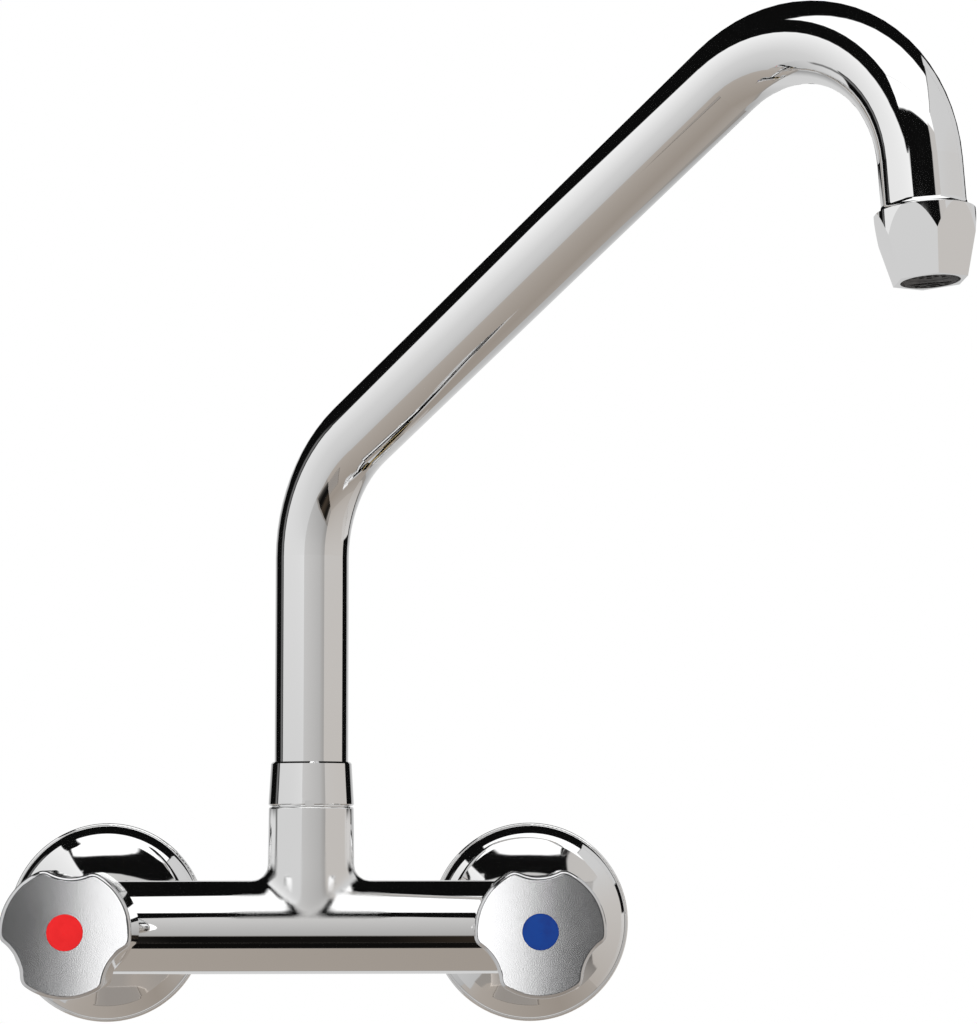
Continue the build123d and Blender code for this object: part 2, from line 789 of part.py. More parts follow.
def build_knob(name, x, turn):
    """Knob, splined insert, screw and index button on one valve."""
    cutter_distance = knob_notch_r + knob_notch_cutter_r
    # Outline with three hollows, the first at the top when the turn is nought
    with BuildPart() as knob:
        with BuildSketch(valve_face(x, knob_back_height)) as outline:
            Circle(knob_lobe_d / 2)
            with PolarLocations(cutter_distance, knob_notches, start_angle=90 + turn):
                Circle(knob_notch_cutter_r, mode=Mode.SUBTRACT)
            fillet(outline.vertices(), knob_notch_round)
        extrude(amount=knob_depth)
        face_edges = knob.faces().sort_by(Axis.Y)[0].edges()
        fillet(face_edges, knob_face_round)
        back_edges = knob.faces().sort_by(Axis.Y)[-1].edges()
        fillet(back_edges, knob_back_round)
        with BuildSketch(valve_face(x, knob_back_height)):
            Circle(knob_cavity_d / 2)
            Circle(knob_boss_d / 2, mode=Mode.SUBTRACT)
        extrude(amount=knob_depth - knob_face_thickness, mode=Mode.SUBTRACT)
        with BuildSketch(valve_face(x, knob_back_height)):
            Circle(knob_boss_d / 2)
        extrude(amount=spline_start - knob_boss_gap - knob_back_height, mode=Mode.SUBTRACT)
        with BuildSketch(valve_face(x, knob_back_height)):
            Circle(insert_d / 2)
        extrude(amount=knob_depth - knob_face_thickness, mode=Mode.SUBTRACT)
        with BuildSketch(valve_face(x, knob_face_height)):
            Circle(index_d / 2 + running_clearance)
        extrude(amount=-index_depth - face_gap, mode=Mode.SUBTRACT)
        with BuildSketch(valve_face(x, knob_face_height)):
            Circle(knob_screw_head_d / 2 + seat_gap)
        extrude(amount=screw_head_height - knob_face_height, mode=Mode.SUBTRACT)
        with BuildSketch(valve_face(x, knob_face_height)):
            Circle(knob_screw_d / 2 + seat_gap)
        extrude(amount=-knob_face_thickness, mode=Mode.SUBTRACT)
    save(knob.part, f"{name}_knob")

    # Splined bush between the spindle and the knob
    with BuildPart() as insert:
        with BuildSketch(valve_face(x, spline_start)):
            Circle(insert_d / 2 - thread_clearance)
            Circle(spline_d / 2 + thread_clearance, mode=Mode.SUBTRACT)
        extrude(amount=knob_web_height - face_gap - spline_start)
    save(insert.part, f"{name}_knob_insert")

    # Socket-head screw into the end of the spindle
    with BuildPart() as knob_screw:
        with BuildSketch(valve_face(x, screw_head_height + face_gap)):
            Circle(knob_screw_head_d / 2)
        extrude(amount=knob_screw_head_height)
        with BuildSketch(valve_face(x, screw_head_height + face_gap)):
            Circle(knob_screw_d / 2)
        extrude(amount=spindle_top - spindle_screw_depth + knob_screw_tip_gap - screw_head_height)
        with BuildSketch(valve_face(x, screw_head_height + face_gap + knob_screw_head_height)):
            RegularPolygon(knob_screw_hex / 2, 6, major_radius=False)
        extrude(amount=-knob_screw_hex_depth, mode=Mode.SUBTRACT)
    save(knob_screw.part, f"{name}_knob_screw")

    # Index button: a slightly crowned disc, let into the knob's face
    crown_r = (index_d ** 2 / 4 + index_crown ** 2) / (2 * index_crown)
    index_foot = knob_face_height - index_depth
    with BuildPart() as index_button:
        with BuildSketch(valve_section(x)):
            with BuildLine():
                foot = Line((0, index_foot), (index_d / 2, index_foot))
                edge = Line(foot @ 1, (index_d / 2, knob_face_height))
                crown = RadiusArc(edge @ 1, (0, knob_face_height + index_crown), -crown_r)
                Line(crown @ 1, foot @ 0)
            make_face()
        revolve(axis=valve_axis(x))
    save(index_button.part, f"{name}_index_button")


for side_name, side_x in (("left", -half_spacing), ("right", half_spacing)):
    build_wall_connection(side_name, side_x)
    build_valve(side_name, side_x)
build_knob("hot", -half_spacing, hot_knob_turn)
build_knob("cold", half_spacing, cold_knob_turn)


# Collar: screwed down on the socket's neck, with a lip over the ferrule's flange
tube_pass_d = spout_tube_d + 2 * running_clearance
with BuildPart() as spout_collar:
    with BuildSketch(column_section):
        with BuildLine():
            Polyline(
                (neck_d / 2 + thread_clearance, collar_foot),
                (collar_foot_d / 2 - collar_edge, collar_foot),
                (collar_foot_d / 2, collar_foot + collar_edge),
                (collar_top_d / 2, collar_top - collar_edge),
                (collar_top_d / 2 - collar_edge, collar_top),
                (tube_pass_d / 2, collar_top),
                (tube_pass_d / 2, collar_lip_under),
                (neck_d / 2 + thread_clearance, collar_lip_under),
                close=True,
            )
        make_face()
    revolve(axis=column_axis)
    with BuildSketch(Plane.XY.offset(body_height + collar_foot)):
        with Locations((0, -body_projection - collar_foot_d / 2)):
            Rectangle(notch_width, 2 * notch_depth)
    extrude(amount=notch_height, mode=Mode.SUBTRACT)
save(spout_collar.part, "spout_collar")

# Slip ring on the neck's top, which carries the ferrule's flange
with BuildPart() as slip_ring:
    with BuildSketch(column_section):
        with BuildLine():
            ring_section(
                ferrule_bore_d + 2 * slip_ring_clearance,
                neck_d - 2 * thread_clearance,
                slip_ring_foot,
                slip_ring_foot + slip_ring_thickness,
            )
        make_face()
    revolve(axis=column_axis)
save(slip_ring.part, "spout_slip_ring")

# Ferrule: spigot with two grooves in the socket, flange, and a spigot up into the tube
spigot_d = ferrule_bore_d - 2 * running_clearance
tube_bore_d = spout_tube_d - 2 * spout_tube_wall
with BuildPart() as spout_ferrule:
    with BuildSketch(column_section):
        with BuildLine():
            Polyline(
                (ferrule_through_d / 2, ferrule_foot_height),
                (spigot_d / 2, ferrule_foot_height),
                (spigot_d / 2, flange_foot),
                (neck_d / 2 - thread_clearance, flange_foot),
                (neck_d / 2 - thread_clearance, flange_top),
                (tube_bore_d / 2 - thread_clearance, flange_top),
                (tube_bore_d / 2 - thread_clearance, flange_top + ferrule_spigot_length),
                (ferrule_through_d / 2, flange_top + ferrule_spigot_length),
                close=True,
            )
        make_face()
        for depth in o_ring_depths:
            with Locations((spigot_d / 2, socket_height - depth)):
                Rectangle(2 * o_ring_groove_depth, o_ring_groove_width, mode=Mode.SUBTRACT)
    revolve(axis=column_axis)
save(spout_ferrule.part, "spout_ferrule")

# O-rings in the ferrule's grooves, drawn at their squashed size
with BuildPart() as spout_rings:
    with BuildSketch(column_section):
        for depth in o_ring_depths:
            with Locations((spigot_d / 2 - o_ring_section / 2, socket_height - depth)):
                Circle(o_ring_section / 2)
    revolve(axis=column_axis)
save(spout_rings.part, "spout_o_rings")

# Spout tube along straight runs and tangent bends, in the upright plane that it leans in
lean = radians(spout_rest_angle)
outward = Vector(cos(lean), -sin(lean), 0)
spout_plane = Plane(
    origin=(0, -body_projection, body_height), x_dir=outward, z_dir=outward.cross(Vector(0, 0, 1))
)
tube_foot = flange_top + face_gap
with BuildLine(spout_plane) as spout_route:
    upright = Line((0, tube_foot), (0, spout_upright_top))
    lower_bend = JernArc(upright @ 1, upright % 1, lower_bend_r, -lower_bend_angle)
    arm = PolarLine(lower_bend @ 1, arm_length, direction=lower_bend % 1)
    hook_bend = JernArc(arm @ 1, arm % 1, hook_bend_r, -hook_bend_angle)
    end_run = PolarLine(hook_bend @ 1, spout_end_length + tube_insertion, direction=hook_bend % 1)
foot_plane = Plane(origin=(0, -body_projection, body_height + tube_foot), x_dir=outward, z_dir=(0, 0, 1))
with BuildPart() as spout_tube:
    with BuildSketch(foot_plane):
        Circle(spout_tube_d / 2)
        Circle(tube_bore_d / 2, mode=Mode.SUBTRACT)
    sweep(path=spout_route.wire())
save(spout_tube.part, "spout_tube")

# Nozzle frame: its own axis runs down along the end of the tube, nought at the nozzle's top
end_direction = end_run % 1
nozzle_top_point = end_run @ 1 - end_direction * tube_insertion
nozzle_across = outward.cross(Vector(0, 0, 1))
nozzle_face = Plane(origin=nozzle_top_point, x_dir=nozzle_across, z_dir=end_direction)
nozzle_section = Plane(
    origin=nozzle_top_point, x_dir=nozzle_across, z_dir=nozzle_across.cross(end_direction)
)
nozzle_axis = Axis(nozzle_top_point, end_direction)

# Nozzle shell: barrel rounded in to the mouth, cut by six flats that lean with it
flat_top = nozzle_flat_foot / 2 + nozzle_flat_slope * nozzle_length
with BuildPart() as nozzle_shell:
    with BuildSketch(nozzle_section):
        with BuildLine():
            top_line = Line((0, 0), (nozzle_d / 2 - nozzle_shoulder_round, 0))
            shoulder = RadiusArc(
                top_line @ 1, (nozzle_d / 2, nozzle_shoulder_round), nozzle_shoulder_round
            )
            barrel = Line(shoulder @ 1, (nozzle_d / 2, nozzle_barrel_length))
            taper = TangentArc(barrel @ 1, (nozzle_mouth_d / 2, nozzle_length), tangent=barrel % 1)
            mouth = Line(taper @ 1, (0, nozzle_length))
            Line(mouth @ 1, top_line @ 0)
        make_face()
    revolve(axis=nozzle_axis)
    with BuildSketch(nozzle_face):
        RegularPolygon(flat_top, 6, major_radius=False, rotation=nozzle_turn)
    with BuildSketch(nozzle_face.offset(nozzle_length)):
        RegularPolygon(nozzle_flat_foot / 2, 6, major_radius=False, rotation=nozzle_turn)
    loft(mode=Mode.INTERSECT)
    with BuildSketch(nozzle_section):
        with BuildLine():
            Polyline(
                (0, 0),
                (tube_pass_d / 2, 0),
                (tube_pass_d / 2, nozzle_hood_depth),
                (nozzle_thread_d / 2 + thread_clearance, nozzle_hood_depth),
                (nozzle_thread_d / 2 + thread_clearance, nozzle_thread_depth),
                (cartridge_d / 2 + running_clearance, nozzle_thread_depth),
                (cartridge_d / 2 + running_clearance, nozzle_length - nozzle_lip_thickness),
                (nozzle_outlet_d / 2, nozzle_length - nozzle_lip_thickness),
                (nozzle_outlet_d / 2, nozzle_length),
                (0, nozzle_length),
                close=True,
            )
        make_face()
    revolve(axis=nozzle_axis, mode=Mode.SUBTRACT)
save(nozzle_shell.part, "nozzle_shell")

# Thread ring soldered into the end of the tube
with BuildPart() as thread_ring:
    with BuildSketch(nozzle_section):
        with BuildLine():
            Polyline(
                (thread_ring_bore_d / 2, -thread_ring_spigot),
                (tube_bore_d / 2 - thread_clearance, -thread_ring_spigot),
                (tube_bore_d / 2 - thread_clearance, tube_insertion + face_gap),
                (nozzle_thread_d / 2, nozzle_hood_depth - thread_lead),
                (nozzle_thread_d / 2, thread_ring_end),
                (thread_ring_bore_d / 2, thread_ring_end),
                close=True,
            )
        make_face()
    revolve(axis=nozzle_axis)
save(thread_ring.part, "nozzle_thread_ring")

# Rubber washer between the ring and the cartridge
washer_top = thread_ring_end + face_gap
washer_end = washer_top + aerator_washer_thickness
aerator_rim_d = nozzle_thread_d - 2 * aerator_rim_margin
with BuildPart() as aerator_washer:
    with BuildSketch(nozzle_section):
        with BuildLine():
            ring_section(aerator_washer_bore_d, aerator_rim_d, washer_top, washer_end)
        make_face()
    revolve(axis=nozzle_axis)
save(aerator_washer.part, "aerator_washer")

# Aerator cartridge: flanged cup with a grid of holes in its floor
cartridge_top = nozzle_thread_depth - face_gap - cartridge_flange_thickness
cartridge_end = nozzle_length - nozzle_lip_thickness - face_gap
with BuildPart() as aerator_cartridge:
    with BuildSketch(nozzle_section):
        with BuildLine():
            Polyline(
                (cartridge_bore_d / 2, cartridge_top),
                (aerator_rim_d / 2, cartridge_top),
                (aerator_rim_d / 2, nozzle_thread_depth - face_gap),
                (cartridge_d / 2, nozzle_thread_depth - face_gap),
                (cartridge_d / 2, cartridge_end),
                (0, cartridge_end),
                (0, cartridge_end - cartridge_floor),
                (cartridge_bore_d / 2, cartridge_end - cartridge_floor),
                close=True,
            )
        make_face()
    revolve(axis=nozzle_axis)
    hole_pitch = cartridge_hole_d + cartridge_hole_gap
    with BuildSketch(nozzle_face.offset(cartridge_end)):
        with HexLocations(hole_pitch / 2, cartridge_hole_rows, cartridge_hole_rows) as grid:
            hole_centers = [
                spot.position
                for spot in grid.local_locations
                if spot.position.length + cartridge_hole_d / 2 < cartridge_bore_d / 2 - cartridge_hole_margin
            ]
        with Locations(*hole_centers):
            Circle(cartridge_hole_d / 2)
    extrude(amount=-cartridge_floor, mode=Mode.SUBTRACT)
save(aerator_cartridge.part, "aerator_cartridge")

# Perforated disc on the cup's floor, which breaks up the stream
mesh_d = cartridge_bore_d - 2 * thread_clearance
with BuildPart() as aerator_mesh:
    with BuildSketch(nozzle_face.offset(cartridge_end - cartridge_floor - face_gap)):
        Circle(mesh_d / 2)
        with GridLocations(mesh_pitch, mesh_pitch, mesh_hole_rows, mesh_hole_rows) as grid:
            mesh_centers = [
                spot.position
                for spot in grid.local_locations
                if spot.position.length + mesh_hole_d / 2 < mesh_d / 2 - mesh_rim
            ]
        with Locations(*mesh_centers):
            Circle(mesh_hole_d / 2, mode=Mode.SUBTRACT)
    extrude(amount=-mesh_thickness)
save(aerator_mesh.part, "aerator_mesh")
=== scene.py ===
"""Chrome wall mixer with a high swivel spout: the finishes of its pieces and the studio round it."""

from __future__ import annotations

import json
import logging
import math
from dataclasses import dataclass, field
from enum import Enum
from typing import Sequence

import bpy
from mathutils import Matrix, Vector

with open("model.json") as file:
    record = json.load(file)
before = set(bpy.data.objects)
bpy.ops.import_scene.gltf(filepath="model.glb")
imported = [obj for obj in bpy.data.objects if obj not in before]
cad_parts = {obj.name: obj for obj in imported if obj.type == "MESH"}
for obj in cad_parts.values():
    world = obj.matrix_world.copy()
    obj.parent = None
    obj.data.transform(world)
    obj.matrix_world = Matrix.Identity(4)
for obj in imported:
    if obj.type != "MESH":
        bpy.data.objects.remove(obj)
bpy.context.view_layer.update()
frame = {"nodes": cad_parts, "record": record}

LOG = logging.getLogger("wall_mixer")
Colour = tuple[float, float, float]
Point = tuple[float, float, float]
Band = tuple[float, float]


class Side(Enum):
    """The two sides of the mixer, seen from the front."""

    LEFT = -1
    RIGHT = 1

    @property
    def word(self) -> str:
        """The side's name as the nodes have it."""
        return self.name.lower()


class Facing(Enum):
    """Which way a studio card is turned, as the direction of its normal."""

    ACROSS = "x"
    ALONG = "y"
    LEVEL = "z"


class Shader:
    """Adds and joins the nodes of one shader tree."""

    def __init__(self, tree: bpy.types.NodeTree) -> None:
        """Start from an empty tree."""
        self.tree = tree
        self.tree.nodes.clear()

    def node(self, kind: str, **inputs: object) -> bpy.types.Node:
        """Add a node.

        Args:
            kind: the node's type name, without the ShaderNode prefix.
            **inputs: values or sockets for its inputs, by name with underscores; a name in
                capitals sets a property of the node itself.

        Returns:
            The new node.
        """
        made = self.tree.nodes.new("ShaderNode" + kind)
        settings = {name for name in inputs if name.isupper() and len(name) > 1}
        for name in settings:
            setattr(made, name.lower(), inputs[name])
        for name in inputs.keys() - settings:
            value = inputs[name]
            wanted = name.replace("_", " ").strip().lower()
            socket = next(s for s in made.inputs if s.enabled and s.name.lower() == wanted)
            self.feed(socket, value)
        return made

    def feed(self, socket: bpy.types.NodeSocket, value: object) -> None:
        """Join a socket to another one, or set its value."""
        if isinstance(value, bpy.types.NodeSocket):
            self.tree.links.new(value, socket)
        else:
            socket.default_value = value

    def maths(self, operation: str, *values: object, clamp: bool = False) -> bpy.types.NodeSocket:
        """Add a maths node and give its result."""
        made = self.node("Math", OPERATION=operation, USE_CLAMP=clamp)
        for socket, value in zip(made.inputs, values):
            self.feed(socket, value)
        return made.outputs[0]

    def ease(
        self, value: object, low: float, high: float, start: float = 0.0, end: float = 1.0,
    ) -> bpy.types.NodeSocket:
        """Ease a value smoothly from start to end while it goes from low to high."""
        made = self.node("MapRange", INTERPOLATION_TYPE="SMOOTHSTEP")
        for name, given in (
            ("Value", value), ("From Min", low), ("From Max", high), ("To Min", start), ("To Max", end),
        ):
            self.feed(made.inputs[name], given)
        return made.outputs["Result"]

    def blend(self, share: object, first: object, second: object) -> bpy.types.NodeSocket:
        """Mix two colours by a share from 0 to 1."""
        made = self.node("Mix", DATA_TYPE="RGBA")
        self.feed(made.inputs[0], share)
        self.feed(made.inputs[6], first)
        self.feed(made.inputs[7], second)
        return made.outputs[2]

    def mix(self, share: object, first: object, second: object) -> bpy.types.NodeSocket:
        """Mix two shaders by a share from 0 to 1."""
        mixed = self.node("MixShader")
        for socket, value in zip(mixed.inputs, (share, first, second)):
            self.feed(socket, value)
        return mixed.outputs[0]

    def ramp(self, value: object, stops: Sequence[tuple[float, Colour]]) -> bpy.types.NodeSocket:
        """Turn a value from 0 to 1 into a colour by a list of stops."""
        made = self.node("ValToRGB", Fac=value)
        points = made.color_ramp.elements
        while len(points) < len(stops):
            points.new(0.5)
        for point, (place, colour) in zip(points, stops):
            point.position = place
            point.color = (*colour, 1.0)
        return made.outputs["Color"]

    def object_place(self) -> bpy.types.NodeSocket:
        """The place on the piece, in metres, in the frame's own axes."""
        return self.node("TexCoord").outputs["Object"]

    def split(self, vector: object) -> tuple[bpy.types.NodeSocket, ...]:
        """The three parts of a vector."""
        return tuple(self.node("SeparateXYZ", Vector=vector).outputs)

    def noise(
        self, place: object, scale: float, detail: float = 2.0, rough: float = 0.5,
    ) -> bpy.types.NodeSocket:
        """A noise value at a place, with its scale per metre."""
        made = self.node("TexNoise", Vector=place, Scale=scale, Detail=detail, Roughness=rough)
        return made.outputs[0]


def new_material(name: str) -> tuple[bpy.types.Material, Shader]:
    """Make an empty node material.

    Args:
        name: the material's name.

    Returns:
        The material and the shader tree to fill.
    """
    material = bpy.data.materials.new(name)
    material.use_nodes = True
    return material, Shader(material.node_tree)


def finish_surface(shader: Shader, surface: bpy.types.NodeSocket) -> None:
    """Join a surface to the material's output."""
    shader.node("OutputMaterial", Surface=surface)


@dataclass(frozen=True)
class ChromeFinish:
    """Polished chrome plate with faint smears, polishing marks and a slow ripple.

    The chrome is polished soft at the root of the spout socket, where it runs into the tube.
    """

    name: str = "polished_chrome"
    tint: Colour = (0.90, 0.90, 0.90)
    film_tone: Colour = (0.955, 0.945, 0.93)
    roughness: float = 0.035
    smear: float = 0.05
    smear_scale: float = 21.0
    smear_band: Band = (0.48, 0.80)
    speck_scale: float = 900.0
    speck_band: Band = (0.66, 0.80)
    ripple: float = 0.02
    ripple_scale: float = 38.0
    ripple_depth: float = 0.001
    root_radius: float = 0.005
    root_samples: int = 8
    root_half_width: Band = (0.020, 0.030)
    root_foot: Band = (0.009, 0.012)
    root_top: Band = (0.028, 0.040)

    def make(self) -> bpy.types.Material:
        """Build the material."""
        material, shader = new_material(self.name)
        place = shader.object_place()
        film = self.film(shader, place)
        roughness = shader.maths("MULTIPLY_ADD", film, self.smear, self.roughness)
        warm = tuple(part * shade for part, shade in zip(self.tint, self.film_tone))
        colour = shader.blend(shader.maths("MULTIPLY", film, 0.5), (*self.tint, 1.0), (*warm, 1.0))
        wave = shader.noise(place, self.ripple_scale, 1.0)
        bump = shader.node(
            "Bump", Strength=self.ripple, Distance=self.ripple_depth, Height=wave,
            Normal=self.soft_root(shader, place),
        )
        surface = shader.node(
            "BsdfPrincipled", Base_Color=colour, Metallic=1.0, Roughness=roughness,
            Normal=bump.outputs["Normal"],
        )
        finish_surface(shader, surface.outputs["BSDF"])
        return material

    def film(self, shader: Shader, place: bpy.types.NodeSocket) -> bpy.types.NodeSocket:
        """How much smeared film lies on the chrome, speckled where it lies."""
        smears = shader.ease(shader.noise(place, self.smear_scale, 3.0), *self.smear_band)
        specks = shader.ease(shader.noise(place, self.speck_scale, 2.0, 0.6), *self.speck_band)
        return shader.maths("MULTIPLY", smears, shader.maths("MULTIPLY_ADD", specks, 0.6, 0.4))

    def soft_root(self, shader: Shader, place: bpy.types.NodeSocket) -> bpy.types.NodeSocket:
        """The normal, polished soft where the spout socket runs into the tube."""
        across, _, height = shader.split(place)
        beside = shader.ease(shader.maths("ABSOLUTE", across), *self.root_half_width, 1.0, 0.0)
        above = shader.ease(height, *self.root_foot)
        below = shader.ease(height, *self.root_top, 1.0, 0.0)
        near = shader.maths("MULTIPLY", beside, shader.maths("MULTIPLY", above, below))
        radius = shader.maths("MULTIPLY", near, self.root_radius)
        return shader.node("Bevel", SAMPLES=self.root_samples, Radius=radius).outputs["Normal"]


@dataclass(frozen=True)
class KnobFinish:
    """Polished chrome sides that turn into a satin front face."""

    name: str = "knob_chrome"
    tint: Colour = (0.90, 0.90, 0.90)
    face_tint: Colour = (0.75, 0.75, 0.757)
    polish: float = 0.05
    satin: float = 0.10
    satin_spread: float = 0.03
    satin_scale: float = 60.0
    satin_band: Band = (0.12956, 0.13076)
    grain_scale: float = 2600.0
    grain_depth: float = 0.0002
    side_grain: float = 0.008
    face_grain: float = 0.012

    def make(self) -> bpy.types.Material:
        """Build the material."""
        material, shader = new_material(self.name)
        place = shader.object_place()
        depth = shader.maths("MULTIPLY", shader.split(place)[1], -1.0)
        face = shader.ease(depth, *self.satin_band)
        grain = shader.noise(place, self.grain_scale, 2.0, 0.6)
        cloud = shader.noise(place, self.satin_scale, 2.0)
        satin = shader.maths("MULTIPLY_ADD", cloud, self.satin_spread, self.satin - self.satin_spread / 2)
        step = shader.maths("SUBTRACT", satin, self.polish)
        roughness = shader.maths("MULTIPLY_ADD", face, step, self.polish)
        colour = shader.blend(face, (*self.tint, 1.0), (*self.face_tint, 1.0))
        strength = shader.maths("MULTIPLY_ADD", face, self.face_grain, self.side_grain)
        bump = shader.node("Bump", Strength=strength, Distance=self.grain_depth, Height=grain)
        surface = shader.node(
            "BsdfPrincipled", Base_Color=colour, Metallic=1.0, Roughness=roughness,
            Normal=bump.outputs["Normal"],
        )
        finish_surface(shader, surface.outputs["BSDF"])
        return material


@dataclass(frozen=True)
class TurnedMetalFinish:
    """Unplated metal with fine tool marks and a patchy tone."""

    name: str
    light: Colour
    dark: Colour
    roughness: float = 0.30
    roughness_spread: float = 0.22
    grain: Point = (90.0, 2400.0, 90.0)
    grain_strength: float = 0.10
    grain_depth: float = 0.0002
    patch_scale: float = 75.0
    patch_band: Band = (0.38, 0.68)

    def make(self) -> bpy.types.Material:
        """Build the material."""
        material, shader = new_material(self.name)
        place = shader.object_place()
        stretched = shader.node("Mapping", Vector=place, Scale=self.grain).outputs["Vector"]
        lines = shader.noise(stretched, 1.0, 3.0, 0.6)
        patches = shader.noise(place, self.patch_scale, 4.0, 0.6)
        colour = shader.blend(shader.ease(patches, *self.patch_band), (*self.light, 1.0), (*self.dark, 1.0))
        smoothest = self.roughness - self.roughness_spread / 2
        roughness = shader.maths("MULTIPLY_ADD", patches, self.roughness_spread, smoothest)
        bump = shader.node("Bump", Strength=self.grain_strength, Distance=self.grain_depth, Height=lines)
        surface = shader.node(
            "BsdfPrincipled", Base_Color=colour, Metallic=1.0, Roughness=roughness,
            Normal=bump.outputs["Normal"],
        )
        finish_surface(shader, surface.outputs["BSDF"])
        return material


@dataclass(frozen=True)
class MouldedFinish:
    """Rubber, plastic or ceramic: a fine grain, a patchy tone and an even gloss."""

    name: str
    light: Colour
    dark: Colour
    roughness: float
    roughness_spread: float = 0.12
    grain_scale: float = 1800.0
    grain_strength: float = 0.08
    grain_depth: float = 0.0001
    patch_scale: float = 140.0
    patch_band: Band = (0.35, 0.70)
    gleam: float = 0.5
    sheen: float = 0.0

    def make(self) -> bpy.types.Material:
        """Build the material."""
        material, shader = new_material(self.name)
        place = shader.object_place()
        patches = shader.noise(place, self.patch_scale, 3.0, 0.6)
        grain = shader.noise(place, self.grain_scale, 2.0, 0.6)
        colour = shader.blend(shader.ease(patches, *self.patch_band), (*self.light, 1.0), (*self.dark, 1.0))
        smoothest = self.roughness - self.roughness_spread / 2
        roughness = shader.maths("MULTIPLY_ADD", patches, self.roughness_spread, smoothest)
        bump = shader.node("Bump", Strength=self.grain_strength, Distance=self.grain_depth, Height=grain)
        surface = shader.node(
            "BsdfPrincipled", Base_Color=colour, Roughness=roughness, Normal=bump.outputs["Normal"],
            Specular_IOR_Level=self.gleam, Sheen_Weight=self.sheen,
        )
        finish_surface(shader, surface.outputs["BSDF"])
        return material


def finish_cabinet() -> dict[str, bpy.types.Material]:
    """Make every finish once.

    Returns:
        The materials by the name of the record's material slot.
    """
    finishes = (
        ChromeFinish(),
        ChromeFinish("rosette_chrome", ripple=0.012, ripple_scale=55.0),
        KnobFinish(),
        TurnedMetalFinish("brass", light=(0.80, 0.62, 0.30), dark=(0.58, 0.42, 0.19), roughness=0.28),
        TurnedMetalFinish(
            "stainless_steel", light=(0.68, 0.68, 0.68), dark=(0.52, 0.52, 0.52), roughness=0.24,
        ),
        MouldedFinish(
            "rubber", light=(0.030, 0.030, 0.031), dark=(0.017, 0.017, 0.018), roughness=0.62,
            grain_scale=1400.0, grain_strength=0.16, sheen=0.08,
        ),
        MouldedFinish(
            "ceramic", light=(0.86, 0.84, 0.79), dark=(0.80, 0.78, 0.72), roughness=0.22,
            grain_scale=3000.0, grain_strength=0.03,
        ),
        MouldedFinish(
            "white_plastic", light=(0.80, 0.80, 0.78), dark=(0.73, 0.73, 0.70), roughness=0.38,
            grain_scale=1600.0, grain_strength=0.07,
        ),
        MouldedFinish(
            "dark_plastic", light=(0.040, 0.036, 0.036), dark=(0.022, 0.020, 0.020), roughness=0.45,
            grain_scale=1500.0, grain_strength=0.10, gleam=0.2,
        ),
        MouldedFinish(
            "hot_red", light=(0.83, 0.016, 0.018), dark=(0.76, 0.012, 0.014), roughness=0.25,
            grain_scale=700.0, grain_strength=0.05, gleam=0.2,
        ),
        MouldedFinish(
            "cold_blue", light=(0.004, 0.046, 0.265), dark=(0.006, 0.034, 0.215), roughness=0.25,
            grain_scale=700.0, grain_strength=0.05, gleam=0.2,
        ),
    )
    return {finish.name: finish.make() for finish in finishes}


@dataclass
class SubAssembly:
    """A group of pieces that are fitted together, with the body that carries them."""

    body: str
    materials: dict[str, bpy.types.Material]
    dressed: list[str] = field(default_factory=list)

    def dress(self, node: str) -> None:
        """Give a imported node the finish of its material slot."""
        slots = {row["node"]: row["material_slot"] for row in frame["record"]["subparts"]}
        piece = frame["nodes"][node]
        for slot in piece.material_slots:
            slot.material = self.materials[slots[node]]
        self.dressed.append(node)

    def report(self) -> None:
        """Log what this sub-assembly has dressed."""
        LOG.info("%s on %s: %s", type(self).__name__, self.body, ", ".join(self.dressed))


@dataclass
class WallConnection(SubAssembly):
    """Union, rosette, nut, seal and tail of one inlet."""

    side: Side = Side.LEFT

    def build(self) -> None:
        """Dress the pieces of this inlet."""
        for stem in ("wall_union", "rosette", "union_nut", "union_seal", "inlet_tail"):
            self.dress(f"{stem}_{self.side.word}")


@dataclass
class ValveSet(SubAssembly):
    """Ceramic-disc valve of one side, with the fixed pieces and those that turn."""

    side: Side = Side.LEFT

    def build(self) -> None:
        """Dress the pieces of this valve."""
        stems = (
            "valve_housing", "housing_o_ring", "seat_seal", "fixed_disc", "valve_shroud",
            "spindle", "moving_disc", "spindle_o_ring", "spindle_clip",
        )
        for stem in stems:
            self.dress(f"{stem}_{self.side.word}")


@dataclass
class Handle(SubAssembly):
    """Knob, splined insert, screw and index button of one valve."""

    temperature: str = "hot"

    def build(self) -> None:
        """Dress the pieces of this handle."""
        for stem in ("knob", "knob_insert", "knob_screw", "index_button"):
            self.dress(f"{self.temperature}_{stem}")


@dataclass
class Body(SubAssembly):
    """The cast body with the collar and slip ring of the spout socket."""

    def build(self) -> None:
        """Dress the fixed pieces in the middle."""
        for node in ("mixer_body", "spout_collar", "spout_slip_ring"):
            self.dress(node)


@dataclass
class Spout(SubAssembly):
    """The swivelling tube with its ferrule, nozzle and aerator."""

    def build(self) -> None:
        """Dress the pieces that swivel."""
        nodes = (
            "spout_tube", "spout_ferrule", "spout_o_rings", "nozzle_thread_ring", "nozzle_shell",
            "aerator_washer", "aerator_cartridge", "aerator_mesh",
        )
        for node in nodes:
            self.dress(node)


